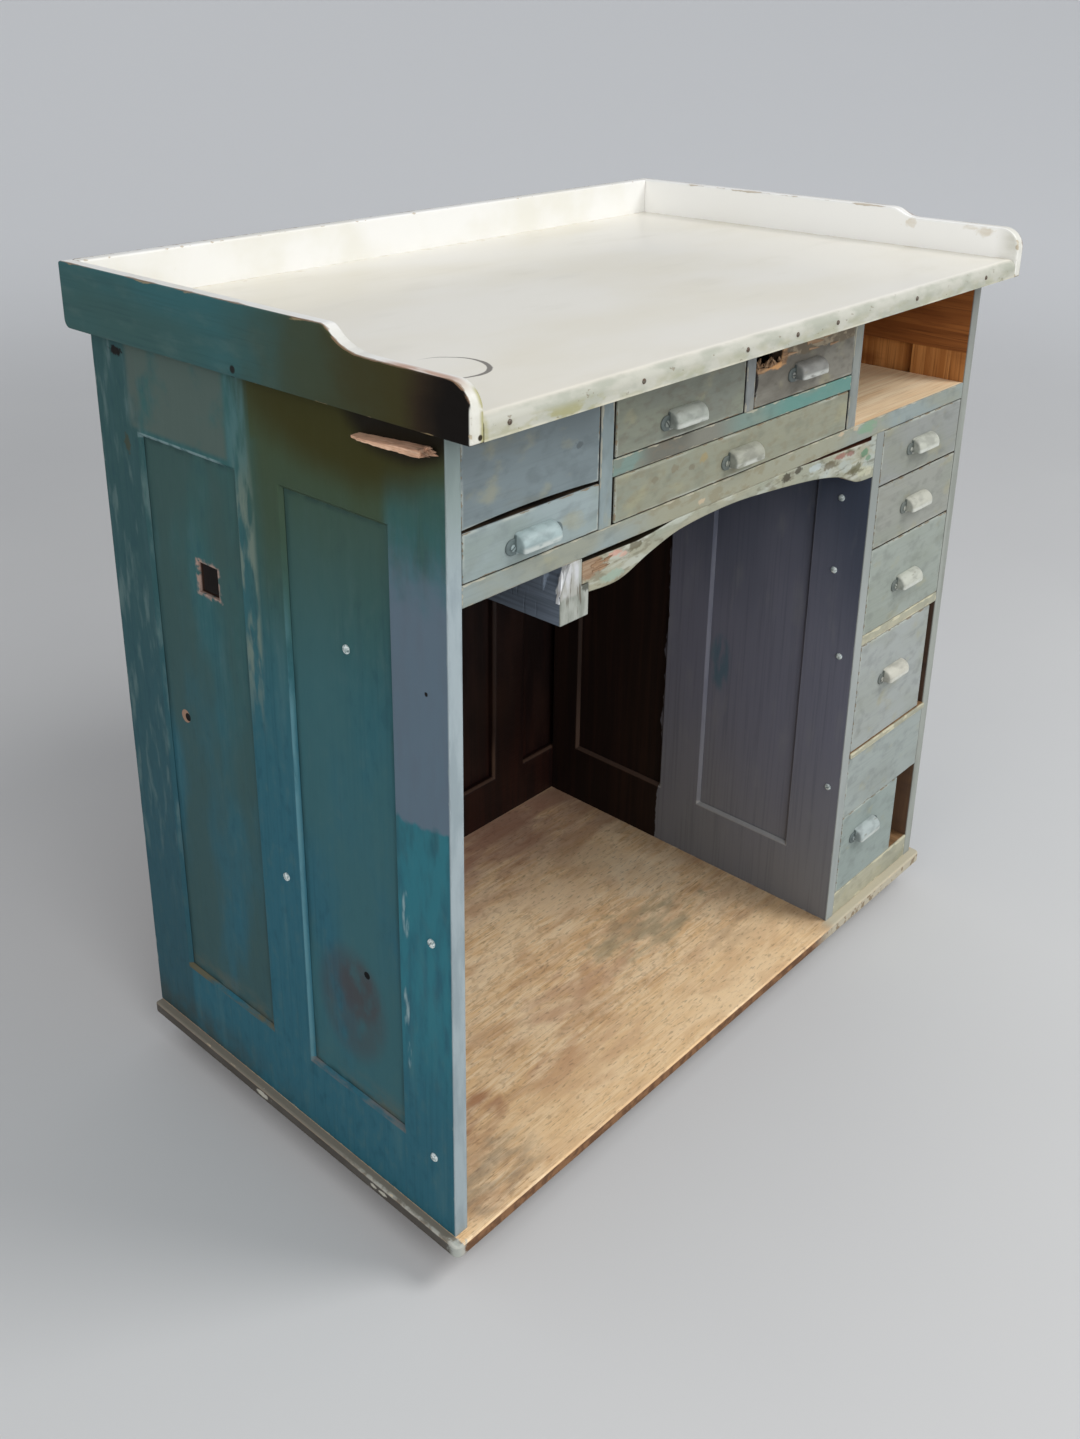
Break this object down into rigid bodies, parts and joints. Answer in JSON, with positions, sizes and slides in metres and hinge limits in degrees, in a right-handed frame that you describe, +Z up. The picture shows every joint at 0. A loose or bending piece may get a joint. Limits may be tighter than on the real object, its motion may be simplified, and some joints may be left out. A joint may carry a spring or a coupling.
{
  "type": "jewelers bench",
  "caption": "Painted frame-and-panel kneehole workbench with a drawer pedestal, an upper drawer case and an enamelled tray top inside a shaped gallery.",
  "frame": {"origin": "on the floor under the middle of the tray", "axes": "+X to the right of a person sitting at the bench, where the drawer pedestal is, +Y towards the back, +Z up; the drawers pull out along -Y"},
  "size_m": [1.024, 0.625, 1.029],
  "materials": {
    "teal_paint": "worn teal paint",
    "slate_paint": "worn slate grey paint",
    "front_paint": "worn grey-green paint",
    "cream_paint": "chipped cream paint",
    "enamel_lining": "glossy off-white enamel, stained",
    "bare_board": "bare worn boards",
    "dark_stain": "dark stained",
    "drawer_wood": "unfinished",
    "painted_iron": "cast iron painted over"
  },
  "bodies": {
    "bench": {"plinth_frame": "dark_stain", "base_board": "bare_board", "left_end_frame": "teal_paint", "left_end_panel_front": "teal_paint", "left_end_panel_rear": "teal_paint", "right_end_frame": "teal_paint", "right_end_panel_front": "teal_paint", "right_end_panel_rear": "teal_paint", "pedestal_side_frame": "slate_paint", "pedestal_side_panel_front": "slate_paint", "pedestal_side_panel_rear": "slate_paint", "back_frame": "dark_stain", "back_panel": "dark_stain", "case_bottom": "front_paint", "divider_left": "front_paint", "divider_right": "front_paint", "small_drawer_shelf": "front_paint", "small_drawer_divider": "front_paint", "left_blank_front": "front_paint", "hanging_cheek": "slate_paint", "arched_apron": "front_paint", "pedestal_runner_1": "drawer_wood", "pedestal_runner_2": "drawer_wood", "pedestal_middle_rail": "cream_paint", "pedestal_ledge": "cream_paint", "pedestal_runner_5": "drawer_wood", "pedestal_blank_front": "front_paint", "pedestal_bottom_rail": "cream_paint", "tray_board": "drawer_wood", "tray_lining": "enamel_lining", "gallery_left": "teal_paint", "gallery_right": "teal_paint", "gallery_back": "teal_paint"},
    "left_drawer": {"left_drawer_front": "front_paint", "left_drawer_box": "drawer_wood", "left_drawer_pull": "painted_iron"},
    "wide_drawer": {"wide_drawer_front": "front_paint", "wide_drawer_box": "drawer_wood", "wide_drawer_pull": "painted_iron"},
    "small_left_drawer": {"small_left_drawer_front": "front_paint", "small_left_drawer_box": "drawer_wood", "small_left_drawer_pull": "painted_iron"},
    "small_right_drawer": {"small_right_drawer_front": "front_paint", "small_right_drawer_box": "drawer_wood", "small_right_drawer_pull": "painted_iron"},
    "pedestal_drawer_1": {"pedestal_drawer_1_front": "front_paint", "pedestal_drawer_1_box": "drawer_wood", "pedestal_drawer_1_pull": "painted_iron"},
    "pedestal_drawer_2": {"pedestal_drawer_2_front": "front_paint", "pedestal_drawer_2_box": "drawer_wood", "pedestal_drawer_2_pull": "painted_iron"},
    "pedestal_drawer_3": {"pedestal_drawer_3_front": "front_paint", "pedestal_drawer_3_box": "drawer_wood", "pedestal_drawer_3_pull": "painted_iron"},
    "pedestal_drawer_4": {"pedestal_drawer_4_front": "front_paint", "pedestal_drawer_4_box": "drawer_wood", "pedestal_drawer_4_pull": "painted_iron"},
    "pedestal_drawer_5": {"pedestal_drawer_5_front": "front_paint", "pedestal_drawer_5_box": "drawer_wood", "pedestal_drawer_5_pull": "painted_iron"}
  },
  "joints": [
    {"name": "left_drawer_slide", "type": "slide", "parent": "bench", "child": "left_drawer", "axis": [0, -1, 0], "range_m": [0, 0.36]},
    {"name": "wide_drawer_slide", "type": "slide", "parent": "bench", "child": "wide_drawer", "axis": [0, -1, 0], "range_m": [0, 0.36]},
    {"name": "small_left_drawer_slide", "type": "slide", "parent": "bench", "child": "small_left_drawer", "axis": [0, -1, 0], "range_m": [0, 0.36]},
    {"name": "small_right_drawer_slide", "type": "slide", "parent": "bench", "child": "small_right_drawer", "axis": [0, -1, 0], "range_m": [0, 0.36]},
    {"name": "pedestal_drawer_1_slide", "type": "slide", "parent": "bench", "child": "pedestal_drawer_1", "axis": [0, -1, 0], "range_m": [0, 0.36]},
    {"name": "pedestal_drawer_2_slide", "type": "slide", "parent": "bench", "child": "pedestal_drawer_2", "axis": [0, -1, 0], "range_m": [0, 0.36]},
    {"name": "pedestal_drawer_3_slide", "type": "slide", "parent": "bench", "child": "pedestal_drawer_3", "axis": [0, -1, 0], "range_m": [0, 0.36]},
    {"name": "pedestal_drawer_4_slide", "type": "slide", "parent": "bench", "child": "pedestal_drawer_4", "axis": [0, -1, 0], "range_m": [0, 0.36]},
    {"name": "pedestal_drawer_5_slide", "type": "slide", "parent": "bench", "child": "pedestal_drawer_5", "axis": [0, -1, 0], "range_m": [0, 0.36]}
  ]
}
